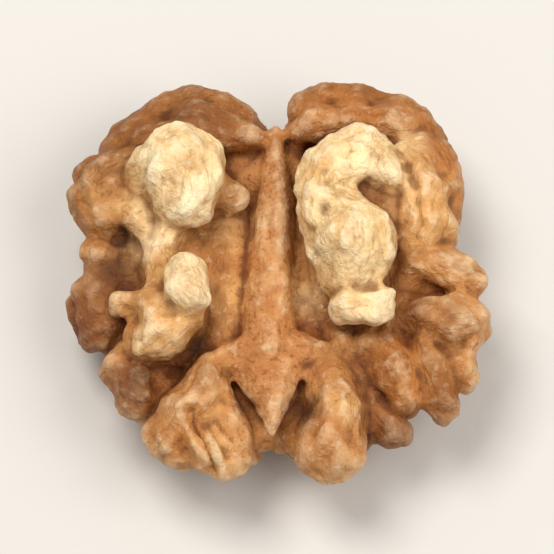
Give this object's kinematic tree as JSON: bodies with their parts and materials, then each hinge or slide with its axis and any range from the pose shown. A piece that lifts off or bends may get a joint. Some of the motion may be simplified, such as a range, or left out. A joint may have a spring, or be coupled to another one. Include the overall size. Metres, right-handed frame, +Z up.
{
  "type": "walnut kernel",
  "caption": "Shelled half of a walnut kernel: two knobbly lobes joined by a spear-shaped ridge, lying on its winding, folded back.",
  "frame": {"origin": "on the surface that the kernel lies on, under the middle of its outline", "axes": "+Z up, square to the inner face, +Y along the middle ridge from its pointed tip to the notched end, +X across the lobes"},
  "size_m": [0.0336, 0.034, 0.0154],
  "materials": {
    "walnut_skin": "thin dry seed skin, matte with a faint oily sheen"
  },
  "bodies": {
    "root": {"kernel": "walnut_skin"}
  },
  "joints": []
}
